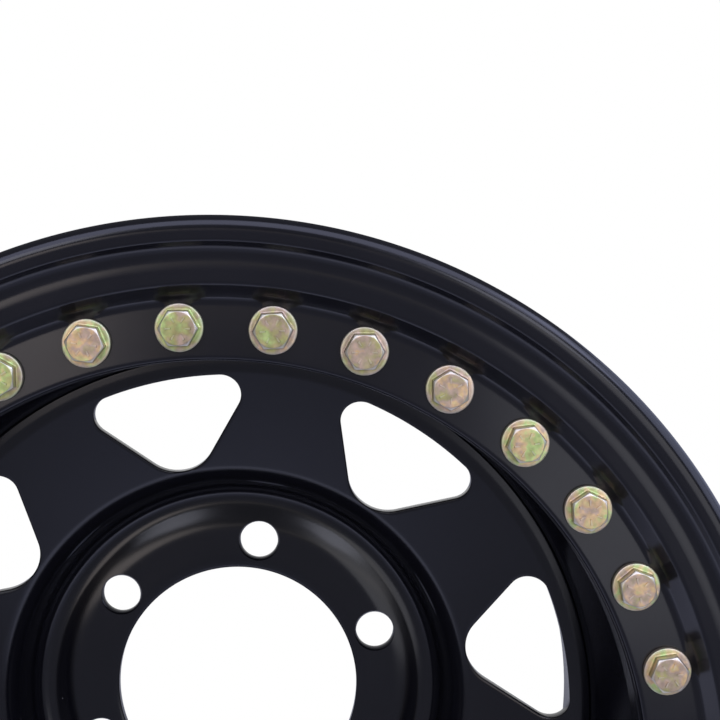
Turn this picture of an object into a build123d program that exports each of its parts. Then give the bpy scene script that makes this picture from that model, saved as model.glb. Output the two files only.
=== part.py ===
from build123d import *
from math import cos, radians, sin, sqrt, tan
import os

# Steel beadlock wheel, 15 by 10 inches, for six studs on a 139.7 mm circle.
# The wheel turns about Y. +Y points inboard, towards the vehicle, so the face that shows looks along -Y.
# The origin is on the axis, in the plane where the disc meets the hub. Sizes are millimetres and degrees.
# Profiles are drawn in XY, with X as the radius, and turned about Y.
# Angles run from +X towards +Z, as seen from the outer face.

# Overall sizes
rim_width = 254.0
bead_seat_diameter = 380.2
hub_to_land = 154.0

# Hub pattern
bore_diameter = 112.5
stud_circle = 139.7
stud_count = 6
stud_hole_diameter = 17.8
stud_seat_diameter = 19.4
stud_seat_angle = 60
stud_angle = 81.45

# Disc, a pressing of even thickness. From the stud circle outwards come the edge of the raised nut pad, the
# contact ring and the bowl.
disc_wall = 6.0
nut_pad_reach = 1.15
nut_pad_rise = 3.2
nut_pad_slope_run = 8.5
contact_ring_width = 13.0
bowl_run = 13.5
bowl_depth = 28.8
spoke_rise = 20.7
skirt_length = 42.0
nut_pad_bend = 14.0
contact_inner_bend = 5.0
contact_outer_bend = 5.5
shoulder_bend = 16.0
skirt_bend = 6.5

# Windows, from inside the shoulder to just short of the skirt
window_count = 8
window_angle = 101.45
window_apex_reach = 6.6
window_top_margin = 8.9
window_side_angle = 41.1
window_apex_fillet = 17.3
window_corner_fillet = 9.0

# Rim barrel, rolled from sheet
barrel_wall = 4.5
well_depth = 24.95
weld_gap = 0.15
flange_height = 17.3
outer_ledge_length = 18.0
well_lead = 0.5
well_margin = 10.0
inner_slope_length = 34.0
inner_ledge_drop = 3.4
bead_seat_width = 19.8
bead_seat_angle = 5
hump_height = 1.4
hump_length = 9.0
flange_lip_length = 13.0
heel_bend = 6.5
flange_bend = 9.0
barrel_bend = 12.0
hump_bend = 6.0
valve_hole_diameter = 11.5
valve_angle = 258.95

# Lock ring, welded to the barrel, with the bead's shoulder and flange
shoulder_clearance = 1.5
lock_land_width = 22.6
lock_land_thickness = 12.0
lock_flange_thickness = 6.0
lock_edge_chamfer = 1.0
lock_flange_round = 2.5

# Clamp ring, stepped out twice from the bolted land
ring_wall = 6.0
ring_setback = 0.8
land_overhang = 0.6
first_step_rise = 5.4
first_step_run = 5.6
middle_land_width = 12.1
middle_land_rise = 0.8
second_step_rise = 5.2
second_step_run = 4.7
outer_land_width = 9.4
outer_land_rise = 0.6
lip_round = 4.0
step_crest_bend = 1.6
step_foot_bend = 0.8
edge_round = 1.5

# Clamp bolts, M8 hex flange bolts that go right through the lock ring
bolt_count = 32
bolt_inset = 9.2
bolt_angle = 105.17
thread_diameter = 8.0
thread_clearance = 0.1
bolt_hole_clearance = 0.5
bolt_tip_length = 1.0
bolt_tip_chamfer = 0.8
head_height = 8.0
head_across_flats = 13.0
head_crown_diameter = 12.4
head_crown_angle = 30
bolt_flange_diameter = 18.4
bolt_flange_edge = 2.0
bolt_flange_slope = 18
# Where the tightened heads stopped turning, bolt by bolt rightwards from the first, in groups that shift
head_turns = (52, 0, 3, 0, 31, 8, 34, 40)
head_turn_shift = 17

# Radii
bead_seat_radius = bead_seat_diameter / 2
flange_radius = bead_seat_radius + flange_height
well_radius = bead_seat_radius - well_depth
skirt_radius = well_radius - barrel_wall - weld_gap
nut_pad_radius = stud_circle / 2 + nut_pad_reach
contact_inner_radius = nut_pad_radius + nut_pad_slope_run
contact_outer_radius = contact_inner_radius + contact_ring_width
disc_shoulder_radius = contact_outer_radius + bowl_run
lock_shoulder_radius = bead_seat_radius - shoulder_clearance
lock_inner_radius = lock_shoulder_radius - lock_land_width
ring_inner_radius = lock_inner_radius + ring_setback
bolt_circle_radius = lock_shoulder_radius - bolt_inset

# Levels along the axis
land_y = -hub_to_land
ring_back_y = land_y + ring_wall
lock_flange_front_y = ring_back_y + lock_land_thickness
lock_back_y = lock_flange_front_y + lock_flange_thickness
bead_face_y = ring_back_y - first_step_rise
inner_flange_y = bead_face_y + rim_width
contact_y = -disc_wall
nut_pad_y = contact_y - nut_pad_rise
disc_shoulder_y = contact_y - bowl_depth
spoke_edge_y = disc_shoulder_y - spoke_rise
skirt_end_y = spoke_edge_y + skirt_length

os.makedirs("parts", exist_ok=True)

# One window is a triangle with its blunt point towards the hub and an arc round the wheel at its top.
window_apex_radius = disc_shoulder_radius - window_apex_reach
window_top_radius = skirt_radius - window_top_margin
apex_sideways = window_apex_radius * sin(radians(window_side_angle))
apex_along = window_apex_radius * cos(radians(window_side_angle))
window_side_length = sqrt(window_top_radius**2 - apex_sideways**2) - apex_along
with BuildSketch() as window_outline:
    with BuildLine():
        left_side = PolarLine((window_apex_radius, 0), window_side_length, window_side_angle)
        right_side = PolarLine((window_apex_radius, 0), window_side_length, -window_side_angle)
        ThreePointArc(left_side @ 1, (window_top_radius, 0), right_side @ 1)
    make_face()
    apex = window_outline.vertices().sort_by(Axis.X)[0]
    fillet(apex, radius=window_apex_fillet)
    top_corners = [window_outline.vertices().sort_by(Axis.Y)[end] for end in (0, -1)]
    fillet(top_corners, radius=window_corner_fillet)

# The disc's front line runs from the bore over the nut pad and the contact ring, up the bowl and along the
# spokes to the skirt, and the sheet lies behind it.
with BuildPart() as wheel_disc:
    with BuildSketch():
        with BuildLine():
            FilletPolyline(
                (bore_diameter / 2, nut_pad_y),
                (nut_pad_radius, nut_pad_y),
                (contact_inner_radius, contact_y),
                (contact_outer_radius, contact_y),
                (disc_shoulder_radius, disc_shoulder_y),
                (skirt_radius, spoke_edge_y),
                (skirt_radius, skirt_end_y),
                radius=(nut_pad_bend, contact_inner_bend, contact_outer_bend, shoulder_bend, skirt_bend),
            )
            offset(amount=disc_wall, side=Side.LEFT)
        make_face()
    revolve(axis=Axis.Y)
    with BuildSketch(Plane.XZ):
        with PolarLocations(0, window_count, start_angle=window_angle):
            add(window_outline.sketch)
    extrude(amount=-spoke_edge_y, mode=Mode.SUBTRACT)
    with Locations(Plane.XZ.offset(-nut_pad_y)):
        with PolarLocations(stud_circle / 2, stud_count, start_angle=stud_angle):
            CounterSinkHole(
                radius=stud_hole_diameter / 2,
                counter_sink_radius=stud_seat_diameter / 2,
                counter_sink_angle=stud_seat_angle,
            )
wheel_disc.part.label = "wheel_disc"
export_step(wheel_disc.part, "parts/wheel_disc.step")

# The barrel's line follows the tyre side, from the lock ring down into the well that holds the disc's skirt,
# and out over the hump and the bead seat to the rolled flange. The sheet lies on its hub side.
slope_start_y = lock_back_y + outer_ledge_length
well_start_y = spoke_edge_y - well_lead
well_end_y = skirt_end_y + well_margin
seat_edge_y = inner_flange_y - bead_seat_width
seat_edge_radius = bead_seat_radius - bead_seat_width * tan(radians(bead_seat_angle))
inner_ledge_radius = seat_edge_radius - inner_ledge_drop
with BuildPart() as rim_barrel:
    with BuildSketch():
        with BuildLine():
            FilletPolyline(
                (bead_seat_radius, lock_back_y),
                (bead_seat_radius, slope_start_y),
                (well_radius, well_start_y),
                (well_radius, well_end_y),
                (inner_ledge_radius, well_end_y + inner_slope_length),
                (inner_ledge_radius, seat_edge_y - 2 * hump_length),
                (seat_edge_radius + hump_height, seat_edge_y - hump_length),
                (seat_edge_radius, seat_edge_y),
                (bead_seat_radius, inner_flange_y),
                (flange_radius, inner_flange_y),
                (flange_radius, inner_flange_y + flange_lip_length),
                radius=(
                    barrel_bend,
                    barrel_bend,
                    barrel_bend,
                    barrel_bend,
                    hump_bend,
                    hump_bend,
                    hump_bend,
                    heel_bend,
                    flange_bend,
                ),
            )
            offset(amount=barrel_wall, side=Side.LEFT)
        make_face()
    revolve(axis=Axis.Y)
    # The valve hole goes square through the middle of the outer slope.
    slope_radius = (bead_seat_radius + well_radius) / 2
    slope_y = (slope_start_y + well_start_y) / 2
    valve_radial = Vector(cos(radians(valve_angle)), 0, sin(radians(valve_angle)))
    valve_plane = Plane(
        origin=valve_radial * slope_radius + Vector(0, slope_y, 0),
        z_dir=valve_radial * (well_start_y - slope_start_y) + Vector(0, well_depth, 0),
    )
    with BuildSketch(valve_plane):
        Circle(valve_hole_diameter / 2)
    extrude(amount=2 * barrel_wall, both=True, mode=Mode.SUBTRACT)
rim_barrel.part.label = "rim_barrel"
export_step(rim_barrel.part, "parts/rim_barrel.step")

# The lock ring seats on the barrel's outer end. Its shoulder centres the bead, which leans on its flange.
with BuildPart() as lock_ring:
    with BuildSketch() as lock_section:
        with BuildLine():
            FilletPolyline(
                (lock_inner_radius, ring_back_y),
                (lock_shoulder_radius, ring_back_y),
                (lock_shoulder_radius, lock_flange_front_y),
                (flange_radius, lock_flange_front_y),
                (flange_radius, lock_back_y),
                (lock_inner_radius, lock_back_y),
                radius=(0, 0, 0, lock_flange_round, lock_flange_round, 0),
                close=True,
            )
        make_face()
        chamfer(lock_section.vertices().sort_by(Axis.X)[:2], length=lock_edge_chamfer)
    revolve(axis=Axis.Y)
    with Locations(Plane.XZ.offset(-ring_back_y)):
        with PolarLocations(bolt_circle_radius, bolt_count, start_angle=bolt_angle):
            Hole(radius=thread_diameter / 2 + thread_clearance)
lock_ring.part.label = "lock_ring"
export_step(lock_ring.part, "parts/lock_ring.step")

# The clamp ring's front line steps outboard twice and rounds over at the lip. Its back is the same line,
# moved by the wall.
land_outer_radius = lock_shoulder_radius + land_overhang
crest_radius = land_outer_radius + first_step_run
crest_y = land_y - first_step_rise
middle_edge_radius = crest_radius + middle_land_width
middle_edge_y = crest_y - middle_land_rise
top_radius = middle_edge_radius + second_step_run
top_y = middle_edge_y - second_step_rise
lip_radius = top_radius + outer_land_width
lip_y = top_y - outer_land_rise
with BuildPart() as clamp_ring:
    with BuildSketch():
        with BuildLine():
            FilletPolyline(
                (ring_inner_radius, land_y),
                (land_outer_radius, land_y),
                (crest_radius, crest_y),
                (middle_edge_radius, middle_edge_y),
                (top_radius, top_y),
                (lip_radius, lip_y),
                (lip_radius, lip_y + ring_wall),
                (top_radius, top_y + ring_wall),
                (middle_edge_radius, middle_edge_y + ring_wall),
                (crest_radius, crest_y + ring_wall),
                (land_outer_radius, ring_back_y),
                (ring_inner_radius, ring_back_y),
                radius=(
                    edge_round,
                    step_foot_bend,
                    step_crest_bend,
                    step_foot_bend,
                    step_crest_bend,
                    lip_round,
                    edge_round,
                    step_crest_bend,
                    step_foot_bend,
                    step_crest_bend,
                    step_foot_bend,
                    step_foot_bend,
                ),
                close=True,
            )
        make_face()
    revolve(axis=Axis.Y)
    with Locations(Plane.XZ.offset(hub_to_land)):
        with PolarLocations(bolt_circle_radius, bolt_count, start_angle=bolt_angle):
            Hole(radius=thread_diameter / 2 + bolt_hole_clearance)
clamp_ring.part.label = "clamp_ring"
export_step(clamp_ring.part, "parts/clamp_ring.step")

# One bolt stands on its flange at the origin, head up: the hexagon is crowned by a cone and rises from the
# sloping flange, and the shank goes down through both rings.
head_half_corners = head_across_flats / 2 / cos(radians(30))
crown_drop = (head_half_corners - head_crown_diameter / 2) * tan(radians(head_crown_angle))
flange_peak = bolt_flange_edge + bolt_flange_diameter / 2 * tan(radians(bolt_flange_slope))
shank_length = ring_wall + lock_land_thickness + lock_flange_thickness + bolt_tip_length
with BuildPart() as one_bolt:
    with BuildSketch():
        RegularPolygon(radius=head_half_corners, side_count=6)
    extrude(amount=head_height)
    with BuildSketch(Plane.XZ):
        with BuildLine():
            Polyline(
                (0, 0),
                (head_half_corners, 0),
                (head_half_corners, head_height - crown_drop),
                (head_crown_diameter / 2, head_height),
                (0, head_height),
                close=True,
            )
        make_face()
    revolve(axis=Axis.Z, mode=Mode.INTERSECT)
    with BuildSketch(Plane.XZ):
        with BuildLine():
            Polyline(
                (0, 0),
                (bolt_flange_diameter / 2, 0),
                (bolt_flange_diameter / 2, bolt_flange_edge),
                (0, flange_peak),
                close=True,
            )
        make_face()
    revolve(axis=Axis.Z)
    with BuildSketch():
        Circle(thread_diameter / 2)
    extrude(amount=-shank_length)
    chamfer(one_bolt.edges().sort_by(Axis.Z)[0], length=bolt_tip_chamfer)

bolt_seats = PolarLocations(bolt_circle_radius, bolt_count, start_angle=bolt_angle, rotate=False).locations
with BuildPart() as clamp_bolts:
    for number, seat in enumerate(bolt_seats):
        place = -number % bolt_count
        group = place // len(head_turns)
        turn = head_turns[place % len(head_turns)] + head_turn_shift * group
        with Locations(Plane.XZ.offset(hub_to_land).location * seat * Rotation(0, 0, turn)):
            add(one_bolt.part)
clamp_bolts.part.label = "clamp_bolts"
export_step(clamp_bolts.part, "parts/clamp_bolts.step")
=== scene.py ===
"""Looks of a steel beadlock wheel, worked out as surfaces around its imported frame.

Sizes are millimetres and degrees, as a wheel maker writes them, and become metres where meshes are made.
The wheel turns about Y and its outer face looks along -Y. A point is given by its radius from the axis, its
level along Y and its angle from +X towards +Z, as seen from the outer face.
"""

import logging
from dataclasses import dataclass, field
from enum import Enum
from functools import cached_property
from math import pi, radians, tan

import bmesh
import bpy
import numpy as np
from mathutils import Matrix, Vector


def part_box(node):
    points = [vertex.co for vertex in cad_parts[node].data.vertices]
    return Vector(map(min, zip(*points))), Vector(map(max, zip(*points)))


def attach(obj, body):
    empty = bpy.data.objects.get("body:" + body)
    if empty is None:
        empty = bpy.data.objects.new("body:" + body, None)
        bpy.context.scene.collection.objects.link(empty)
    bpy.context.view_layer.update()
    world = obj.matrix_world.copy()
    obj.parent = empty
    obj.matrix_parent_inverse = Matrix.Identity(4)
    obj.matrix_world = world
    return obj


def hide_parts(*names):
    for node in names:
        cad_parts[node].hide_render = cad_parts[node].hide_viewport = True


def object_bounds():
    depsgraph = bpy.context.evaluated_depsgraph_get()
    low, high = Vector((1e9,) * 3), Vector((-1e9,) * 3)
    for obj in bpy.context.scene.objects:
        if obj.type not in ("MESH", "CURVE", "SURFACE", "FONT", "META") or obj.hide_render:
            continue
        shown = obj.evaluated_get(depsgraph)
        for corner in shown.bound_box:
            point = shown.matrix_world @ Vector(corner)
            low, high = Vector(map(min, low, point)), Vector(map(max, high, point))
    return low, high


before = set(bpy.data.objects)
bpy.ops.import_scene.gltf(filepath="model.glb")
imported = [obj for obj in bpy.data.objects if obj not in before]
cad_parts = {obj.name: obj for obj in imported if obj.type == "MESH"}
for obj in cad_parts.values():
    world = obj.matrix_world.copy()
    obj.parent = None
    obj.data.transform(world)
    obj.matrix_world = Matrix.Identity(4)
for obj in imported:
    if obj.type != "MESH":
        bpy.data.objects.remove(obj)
CAD_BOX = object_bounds()

MM = 0.001
BODY = "root"
WELD_DISTANCE = 2e-6
SLIVER_DISTANCE = WELD_DISTANCE / 10
SHARP_ANGLE = radians(38)
SIXTH = pi / 3
WHITE = (1.0, 1.0, 1.0, 1.0)
NOISE_RANGE = (0.3, 0.7)  # where most values of a noise pattern lie
MIX_FIRST, MIX_SECOND, MIX_RESULT = 6, 7, 2  # a Mix node's colour sockets
Array = np.ndarray
Colour = tuple[float, float, float, float]
Place = tuple[float, float, float]
Point = tuple[float, float]
log = logging.getLogger("beadlock_wheel")


class Slot(Enum):
    """Material slots of the record."""

    BLACK_PAINT = "black_paint"
    YELLOW_ZINC = "yellow_zinc"


def linear(hex_code: str) -> Colour:
    """Turn an sRGB colour into the linear one that shaders take.

    The curve of the sRGB standard is straight near black and a power of 2.4 above.

    Args:
        hex_code: Six hex digits after a hash sign.

    Returns:
        Linear red, green and blue, and an alpha of 1.
    """
    parts = np.array([int(hex_code[i:i + 2], 16) / 255 for i in (1, 3, 5)])
    straight = np.where(parts <= 0.04045, parts / 12.92, ((parts + 0.055) / 1.055) ** 2.4)
    return (*straight.tolist(), 1.0)


def add_node(tree: bpy.types.NodeTree, kind: str, settings: dict | None = None,
             inputs: dict | None = None) -> bpy.types.Node:
    """Add one shader node with its settings, its socket values and its links.

    Args:
        tree: The node tree to add to.
        kind: The node's type name.
        settings: Properties of the node.
        inputs: Socket name or number to a value, or to the output socket that feeds it.

    Returns:
        The new node.
    """
    node = tree.nodes.new(kind)
    for name, value in (settings or {}).items():
        setattr(node, name, value)
    for name, value in (inputs or {}).items():
        if isinstance(value, bpy.types.NodeSocket):
            tree.links.new(value, node.inputs[name])
        else:
            node.inputs[name].default_value = value
    return node


def span(name: str, limits: Point) -> dict[str, float]:
    """Name the two limits of a Map Range node's From or To range."""
    return {f"{name} Min": limits[0], f"{name} Max": limits[1]}


def fresh_tree(owner: bpy.types.ID) -> bpy.types.NodeTree:
    """Give a material or a world an empty node tree.

    Args:
        owner: The material or world.

    Returns:
        Its tree.
    """
    owner.use_nodes = True
    owner.node_tree.nodes.clear()
    return owner.node_tree


def unit(vectors: Array) -> Array:
    """Scale vectors in the last axis to length 1."""
    return vectors / np.linalg.norm(vectors, axis=-1, keepdims=True)


def left_of(directions: Array) -> Array:
    """Turn plane vectors in the last axis a quarter turn to the left."""
    return np.stack([-directions[..., 1], directions[..., 0]], axis=-1)


@dataclass(frozen=True)
class BentLine:
    """A line of straight runs joined by tangent arcs, as a press or a roll bends sheet.

    Attributes:
        points: Radius and level of each sample.
        normals: The unit normal to the left of the line at each sample.
    """

    points: Array
    normals: Array

    @classmethod
    def through(cls, corners: list[Point], bends: list[float], closed: bool = False,
                arc_step: float = 9.0, shortest: float = 0.1, support: float = 0.5) -> "BentLine":
        """Round each corner by the arc that is tangent to its two runs.

        An arc of radius r that turns by t leaves its runs r tan(t / 2) from the corner. Its samples are the
        first radius arm turned about the arc's centre in even steps. Two samples near the ends of a run that
        has room for them keep the shading of the flat apart from that of the bends.

        Args:
            corners: Where the runs would meet.
            bends: Bend radii, one for each corner that has two runs.
            closed: Whether the last corner joins the first.
            arc_step: The most that one step of an arc turns.
            shortest: The least length of such a step, which small arcs keep to.
            support: Distance of a run's extra samples from its ends.

        Returns:
            The sampled line.
        """
        places = np.asarray(corners, float)
        count = len(places)
        turns = range(count) if closed else range(1, count - 1)
        pieces = [] if closed else [(places[:1], left_of(unit(places[1:2] - places[:1])))]
        for order, i in enumerate(turns):
            into = unit(places[i] - places[i - 1])
            out = unit(places[(i + 1) % count] - places[i])
            turn = np.arctan2(into[0] * out[1] - into[1] * out[0], into @ out)
            bend = bends[order]
            finest = min(np.degrees(abs(turn)) / arc_step, bend * abs(turn) / shortest)
            steps = max(2, int(np.ceil(finest)) + 1) if bend > 0 else 1
            angles = np.linspace(0, turn, steps)
            spin = np.stack([np.cos(angles), np.sin(angles)], axis=-1)
            arm = -left_of(into) * np.sign(turn)
            centre = places[i] - into * bend * np.tan(abs(turn) / 2) - arm * bend
            arms = arm * spin[:, :1] + left_of(arm) * spin[:, 1:]
            along = into * spin[:, :1] + left_of(into) * spin[:, 1:]
            pieces.append((centre + bend * arms, left_of(along)))
        if not closed:
            pieces.append((places[-1:], left_of(unit(places[-1:] - places[-2:-1]))))
        samples = []
        for i, (points, normals) in enumerate(pieces):
            samples.append((points, normals))
            if i + 1 == len(pieces) and not closed:
                break
            start, end = points[-1], pieces[(i + 1) % len(pieces)][0][0]
            length = np.linalg.norm(end - start)
            if length > 4 * support:
                shares = np.array([[support / length], [1 - support / length]])
                samples.append((start + (end - start) * shares, np.repeat(normals[-1:], 2, axis=0)))
        return cls(np.concatenate([s[0] for s in samples]), np.concatenate([s[1] for s in samples]))

    def moved(self, distance: float) -> "BentLine":
        """Shift the line to its left by a distance, so that arcs stay arcs about the same centres."""
        return BentLine(self.points + distance * self.normals, self.normals)

    def level_at(self, radii: Array) -> Array:
        """Read the level at given radii, where the radius grows along the line."""
        return np.interp(radii, self.points[:, 0], self.points[:, 1])

    def rows_at(self, radii: Array) -> Array:
        """Pair given radii with the line's levels there."""
        return np.stack([radii, self.level_at(radii)], axis=-1)

    def beyond(self, radius: float, clear: float = 0.05) -> Array:
        """Take the samples past a radius, with one added exactly there.

        Args:
            radius: Where the samples start.
            clear: How far the next sample stays from the first.

        Returns:
            Radius and level of each sample.
        """
        start = int(np.argmax(self.points[:, 0] > radius + clear))
        return np.concatenate([self.rows_at(np.array([radius])), self.points[start:]])


def spaced(low: float, high: float, steps: int) -> Array:
    """Space values between two limits, closer at both ends, by a half turn of the cosine."""
    return (low + high) / 2 - (high - low) / 2 * np.cos(np.linspace(0, pi, steps + 1))


def circle_gap(radii: Array, centre: float, hole: float | Array) -> Array:
    """Find the half angle that a round hole takes out of circles about the wheel's axis.

    By the cosine rule, a circle of radius R meets a hole of radius h, whose centre is c from the axis, at an
    angle with cosine (R R + c c - h h) / (2 R c).

    Args:
        radii: Radii of the circles.
        centre: Distance of the hole's centre from the axis.
        hole: The hole's radius, or one for each circle.

    Returns:
        Half angles in radians, 0 where a circle misses the hole.
    """
    cosine = (radii**2 + centre**2 - np.square(hole)) / (2 * radii * centre)
    return np.arccos(np.clip(cosine, -1, 1))


def lift(radii: Array, levels: Array, angles: Array) -> Array:
    """Place points by radius, level and angle in radians, as metres in the wheel's frame."""
    return MM * np.stack(np.broadcast_arrays(radii * np.cos(angles), levels, radii * np.sin(angles)), axis=-1)


def even_turns(count: int, start: float) -> Array:
    """Space angles evenly round the axis from a start in degrees, as radians in the first of three axes."""
    return radians(start) + 2 * pi / count * np.arange(count)[:, None, None]


def sectors(rows: Array, gaps: Array, count: int, start: float, columns: int) -> Array:
    """Carry profile rows round the axis in equal sectors, each between two neighbouring gaps.

    Column j of c in a sector of angle S stands at g + (S - 2 g) j / c, where g is the row's half gap.

    Args:
        rows: Radius and level of each row.
        gaps: Half angle of the gap at each row, in radians.
        count: Number of sectors.
        start: Angle of the first gap's middle, in degrees.
        columns: Steps across one sector.

    Returns:
        Grids of points, one for each sector.
    """
    sector = 2 * pi / count
    half = gaps[:, None]
    across = np.linspace(0, 1, columns + 1)
    angles = even_turns(count, start) + half + (sector - 2 * half) * across
    return lift(rows[:, :1], rows[:, 1:], angles)


def hole_loop(radii: Array, gaps: Array) -> tuple[Array, Array]:
    """Go once round a hole's edge: outwards on one side of its middle line and back on the other.

    Args:
        radii: Row radii across the hole, the first and last of which only touch it.
        gaps: Half angles at those rows, in radians.

    Returns:
        Radii and angles from the hole's middle, with the first point again at the end.
    """
    return np.concatenate([radii, radii[-2::-1]]), np.concatenate([gaps, -gaps[-2::-1]])


class Patchwork:
    """Grids of points that are welded into one mesh with faces that point outwards."""

    def __init__(self) -> None:
        """Start with no grids."""
        self.points: list[Array] = []
        self.quads: list[Array] = []
        self.total = 0

    def add(self, grids: Array) -> None:
        """Add grids of points and the quads between their rows and columns.

        Args:
            grids: One grid of rows by columns by three coordinates, or several of the same size.
        """
        rows, columns = grids.shape[-3:-1]
        flat = grids.reshape(-1, 3)
        index = self.total + np.arange(len(flat)).reshape(-1, rows, columns)
        corners = [index[:, :-1, :-1], index[:, 1:, :-1], index[:, 1:, 1:], index[:, :-1, 1:]]
        self.points.append(flat)
        self.quads.append(np.stack(corners, axis=-1).reshape(-1, 4))
        self.total += len(flat)

    def build(self, name: str) -> bpy.types.Object:
        """Make the mesh, weld its seams, turn its faces outwards and shade it.

        Args:
            name: Name of the object.

        Returns:
            The object, at the origin.
        """
        mesh = bpy.data.meshes.new(name)
        mesh.from_pydata(np.concatenate(self.points), [], np.concatenate(self.quads))
        work = bmesh.new()
        work.from_mesh(mesh)
        bmesh.ops.remove_doubles(work, verts=work.verts, dist=WELD_DISTANCE)
        bmesh.ops.dissolve_degenerate(work, edges=work.edges, dist=SLIVER_DISTANCE)
        bmesh.ops.recalc_face_normals(work, faces=work.faces)
        work.to_mesh(mesh)
        work.free()
        mesh.polygons.foreach_set("use_smooth", np.ones(len(mesh.polygons), bool))
        mesh.set_sharp_from_angle(angle=SHARP_ANGLE)
        piece = bpy.data.objects.new(name, mesh)
        bpy.context.scene.collection.objects.link(piece)
        return piece


def points_of(piece: bpy.types.Object) -> Array:
    """Read the points of a piece's mesh.

    Args:
        piece: The object.

    Returns:
        Points by three coordinates, in metres.
    """
    points = np.empty(3 * len(piece.data.vertices))
    piece.data.vertices.foreach_get("co", points)
    return points.reshape(-1, 3)


@dataclass(frozen=True)
class PowderCoat:
    """Satin black powder coat on steel.

    The eye sees a near black film with a soft broad sheen, a faint orange peel, slight changes of gloss and
    a few pale specks of dust.
    """

    name: str = "satin_black_powder_coat"
    dark: str = "#0a0a0f"
    pale: str = "#0e0e14"
    dust: str = "#8d8d90"
    roughness: Point = (0.15, 0.2)
    ior: float = 1.45
    cloud_size: float = 38.0
    cloud_detail: float = 3.0
    peel_size: float = 1.6
    peel_detail: float = 2.0
    peel_depth: float = 0.0012
    dust_spacing: float = 24.0
    dust_size: float = 0.32
    dust_core: float = 0.4

    def material(self) -> bpy.types.Material:
        """Build the coat: clouds of gloss, the peel as bump, and dust as points of a cell pattern.

        Returns:
            The material.
        """
        made = bpy.data.materials.new(self.name)
        tree = fresh_tree(made)
        place = add_node(tree, "ShaderNodeTexCoord").outputs["Object"]
        clouds, peel = (add_node(tree, "ShaderNodeTexNoise", inputs={
            "Vector": place, "Scale": 1 / (size * MM), "Detail": detail}).outputs["Fac"]
            for size, detail in ((self.cloud_size, self.cloud_detail), (self.peel_size, self.peel_detail)))
        gloss = add_node(tree, "ShaderNodeMapRange", inputs={
            "Value": clouds, **span("From", NOISE_RANGE), **span("To", self.roughness)})
        film = add_node(tree, "ShaderNodeMix", {"data_type": "RGBA"}, {
            "Factor": clouds, MIX_FIRST: linear(self.dark), MIX_SECOND: linear(self.pale)})
        cells = add_node(tree, "ShaderNodeTexVoronoi", inputs={
            "Vector": place, "Scale": 1 / (self.dust_spacing * MM)})
        speck = self.dust_size / self.dust_spacing
        near = add_node(tree, "ShaderNodeMapRange", {"interpolation_type": "SMOOTHSTEP"}, {
            "Value": cells.outputs["Distance"], **span("From", (speck, self.dust_core * speck))})
        specks = add_node(tree, "ShaderNodeMix", {"data_type": "RGBA"}, {
            "Factor": near.outputs["Result"], MIX_FIRST: film.outputs[MIX_RESULT],
            MIX_SECOND: linear(self.dust)})
        bump = add_node(tree, "ShaderNodeBump", inputs={
            "Height": peel, "Distance": self.peel_depth * MM, "Strength": 1.0})
        shader = add_node(tree, "ShaderNodeBsdfPrincipled", inputs={
            "Base Color": specks.outputs[MIX_RESULT], "Roughness": gloss.outputs["Result"], "IOR": self.ior,
            "Normal": bump.outputs["Normal"]})
        add_node(tree, "ShaderNodeOutputMaterial", inputs={"Surface": shader.outputs["BSDF"]})
        return made


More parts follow.
